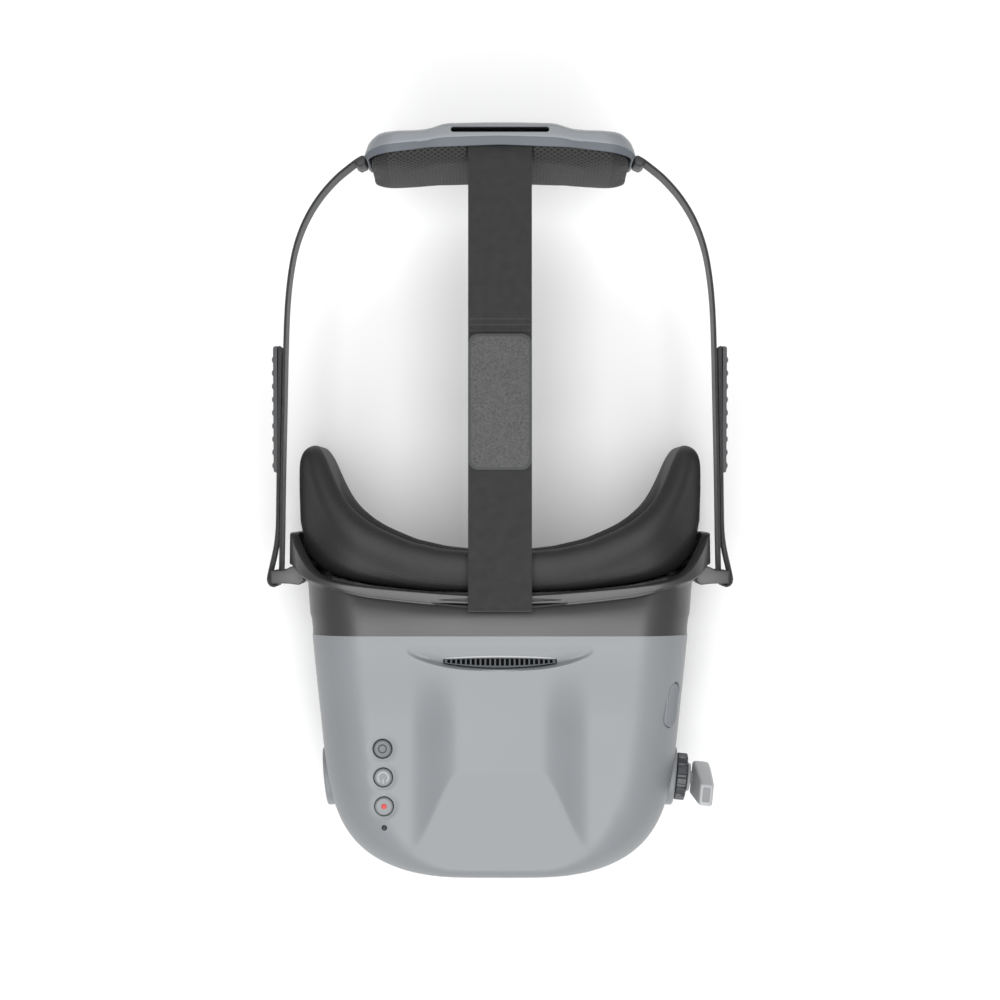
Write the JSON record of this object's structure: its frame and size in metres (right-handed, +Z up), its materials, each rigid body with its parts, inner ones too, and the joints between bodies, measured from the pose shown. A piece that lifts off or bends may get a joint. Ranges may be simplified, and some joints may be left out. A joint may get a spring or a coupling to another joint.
{
  "type": "video goggles",
  "caption": "Head-worn video goggles: boxy light-grey housing with a face pad, a folding side antenna, webbing straps and a cushioned rear cradle.",
  "frame": {"origin": "centre of the bounding box in X and Y, on the flat underside of the housing", "axes": "+Z up, the housing's front faces -Y, the wearer's head is on the +Y side and the antenna on the +X side"},
  "size_m": [0.2158, 0.3472, 0.1105],
  "materials": {
    "housing_grey": "fine satin texture",
    "frame_grey": "satin moulded",
    "black_plastic": "satin moulded",
    "face_foam_black": "soft foam skin",
    "cushion_mesh": "perforated mesh over foam",
    "webbing": "woven elastic",
    "hook_tab": "hook and loop patch",
    "cradle_grey": "satin moulded",
    "antenna_grey": "smooth moulded",
    "ring_grey": "moulded ribs",
    "button_grey": "smooth moulded",
    "record_red": "moulded",
    "clear_lens": "polished",
    "screen_black": "polished",
    "circuit_board": "solder mask",
    "steel": "plated",
    "gold_plate": "plated",
    "cell_wrap": "shrink wrap"
  },
  "bodies": {
    "headset": {"housing": "housing_grey", "boss_left": "housing_grey", "boss_right": "housing_grey", "face_frame": "frame_grey", "vent_grille": "black_plastic", "switch_menu": "black_plastic", "switch_power": "black_plastic", "switch_record": "black_plastic", "rocker_switch_1": "black_plastic", "rocker_switch_2": "black_plastic", "port_panel": "black_plastic", "side_jack": "black_plastic", "lens_frame": "black_plastic", "light_shroud": "black_plastic", "top_strap": "webbing", "side_strap_left": "webbing", "side_strap_right": "webbing", "top_strap_tab": "hook_tab", "side_tab_left": "hook_tab", "side_tab_right": "hook_tab", "lens": "clear_lens", "display_panel": "screen_black", "status_light": "screen_black", "main_board": "circuit_board", "button_board": "circuit_board", "rocker_board": "circuit_board", "usb_socket": "steel", "card_slot": "steel", "board_screw_1": "steel", "board_screw_2": "steel", "frame_screw_1": "steel", "frame_screw_2": "steel", "frame_screw_3": "steel", "frame_screw_4": "steel", "display_bracket": "steel", "processor_shield": "steel", "receiver_module": "steel", "sma_socket": "gold_plate", "battery_pack": "cell_wrap"},
    "menu_button": {"button_menu": "button_grey"},
    "power_button": {"button_power": "button_grey"},
    "record_button": {"button_record": "button_grey", "record_dot": "record_red"},
    "rocker": {"rocker_key": "button_grey"},
    "card": {"memory_card": "black_plastic"},
    "nut": {"antenna_nut": "ring_grey"},
    "swivel": {"antenna_knuckle": "antenna_grey", "antenna_pin": "steel"},
    "blade": {"antenna_blade": "antenna_grey"},
    "face_pad": {"face_foam": "face_foam_black", "foam_carrier": "black_plastic"},
    "cradle": {"cradle_shell": "cradle_grey", "cradle_plate": "black_plastic", "cradle_cushion": "cushion_mesh", "cradle_screw_left": "steel", "cradle_screw_right": "steel", "strap_clip_left": "black_plastic", "strap_clip_right": "black_plastic", "strap_clamp": "black_plastic"}
  },
  "joints": [
    {"name": "menu_press", "type": "slide", "parent": "headset", "child": "menu_button", "axis": [0, 0, -1], "range_m": [0, 0.0005], "stiffness_N_per_m": 400},
    {"name": "power_press", "type": "slide", "parent": "headset", "child": "power_button", "axis": [0, 0, -1], "range_m": [0, 0.0005], "stiffness_N_per_m": 400},
    {"name": "record_press", "type": "slide", "parent": "headset", "child": "record_button", "axis": [0, 0, -1], "range_m": [0, 0.0005], "stiffness_N_per_m": 400},
    {"name": "rocker_tilt", "type": "hinge", "parent": "headset", "child": "rocker", "pos_m": [0.07771, -0.09409, 0.08399], "axis": [-0.6036, 0.0539, 0.7955], "range_deg": [-4, 4], "stiffness_Nm_per_rad": 0.2},
    {"name": "card_slide", "type": "slide", "parent": "headset", "child": "card", "axis": [-0.996, -0.0889, 0], "range_m": [0, 0.012]},
    {"name": "nut_spin", "type": "hinge", "parent": "headset", "child": "nut", "pos_m": [0.08519, -0.13029, 0.055], "axis": [0.9954, -0.0958, 0], "continuous": true},
    {"name": "antenna_swivel", "type": "hinge", "parent": "headset", "child": "swivel", "pos_m": [0.08519, -0.13029, 0.055], "axis": [0.9954, -0.0958, 0], "range_deg": [-90, 90]},
    {"name": "antenna_fold", "type": "hinge", "parent": "swivel", "child": "blade", "pos_m": [0.09395, -0.13113, 0.055], "axis": [0.0958, 0.9954, 0], "range_deg": [0, 90]},
    {"name": "pad_pull", "type": "slide", "parent": "headset", "child": "face_pad", "axis": [0, 1, 0], "range_m": [0, 0.03]},
    {"name": "strap_fit", "type": "slide", "parent": "headset", "child": "cradle", "axis": [0, 1, 0], "range_m": [-0.02, 0.01], "deforming": ["top_strap", "side_strap_left", "side_strap_right"]}
  ]
}
